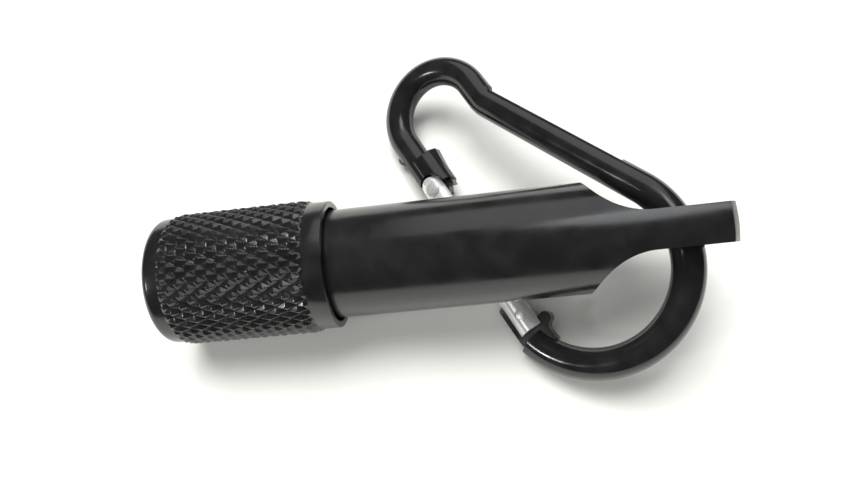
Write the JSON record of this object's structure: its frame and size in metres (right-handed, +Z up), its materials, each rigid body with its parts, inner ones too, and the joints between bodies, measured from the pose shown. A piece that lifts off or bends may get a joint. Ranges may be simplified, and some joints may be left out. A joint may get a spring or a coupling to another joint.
{
  "type": "keychain flashlight",
  "caption": "Small twist-head pocket torch of black anodised aluminium with a knurled head and a milled tail, hung on a pear-shaped snap ring with a sprung gate.",
  "frame": {"origin": "on the floor, under the centre of the bounding box", "axes": "+X from the torch's front towards its tail, +Z up; the torch lies along X with its tail raised 5 degrees, and the snap ring lies across it on the floor side of -Y to +Y"},
  "size_m": [0.0642, 0.0442, 0.0194],
  "materials": {
    "black_anodised": "glossy black anodising",
    "bare_aluminium": "polished, not coated",
    "steel": "nickel-plated steel",
    "clear_plastic": "clear, polished",
    "mirror_plastic": "metallised mirror coat",
    "black_rubber": "moulded",
    "white_plastic": "moulded",
    "green_board": "solder mask",
    "dark_chip": "ceramic chip with a dark coat"
  },
  "bodies": {
    "barrel": {"barrel": "black_anodised", "neck_seal": "black_rubber", "cell_tube": "white_plastic", "cell_1": "steel", "cell_2": "steel", "cell_3": "steel", "cell_4": "steel", "tail_spring": "steel"},
    "lamp": {"reflector": "mirror_plastic", "led": "clear_plastic", "led_lead_plus": "steel", "led_lead_minus": "steel", "led_holder": "white_plastic", "contact_board": "green_board", "contact_spring": "steel", "resistor": "dark_chip"},
    "head": {"head_sleeve": "black_anodised", "front_lens": "clear_plastic", "lens_seal": "black_rubber"},
    "ring": {"ring_frame": "black_anodised", "gate_rivet": "steel"},
    "gate": {"gate": "bare_aluminium", "latch_pin": "steel", "gate_spring": "steel"},
    "plunger": {"gate_plunger": "steel"}
  },
  "joints": [
    {"name": "head_advance", "type": "slide", "parent": "barrel", "child": "lamp", "axis": [0.9962, 0, 0.0872], "range_m": [0, 0.0004]},
    {"name": "head_twist", "type": "hinge", "parent": "lamp", "child": "head", "pos_m": [-0.03159, -0.00772, 0.00772], "axis": [0.9962, 0, 0.0872], "range_deg": [0, 180]},
    {"name": "ring_swing", "type": "hinge", "parent": "barrel", "child": "ring", "pos_m": [0.02718, -0.00772, 0.01286], "axis": [0.0317, -0.9317, -0.3619], "range_deg": [0, 310]},
    {"name": "gate_open", "type": "hinge", "parent": "ring", "child": "gate", "pos_m": [0.00095, 0.00467, 0.00228], "axis": [-0.458, -0.2384, 0.8564], "range_deg": [0, 7], "stiffness_Nm_per_rad": 0.01, "springref_deg": -11.46},
    {"name": "plunger_push", "type": "slide", "parent": "gate", "child": "plunger", "axis": [0.4617, -0.887, 0], "range_m": [0, 0.00008]}
  ],
  "couplings": [
    {"joint": "head_twist", "follows": "head_advance", "rad_per_m": 7854},
    {"joint": "plunger_push", "follows": "gate_open", "m_per_rad": 0.00061388}
  ]
}
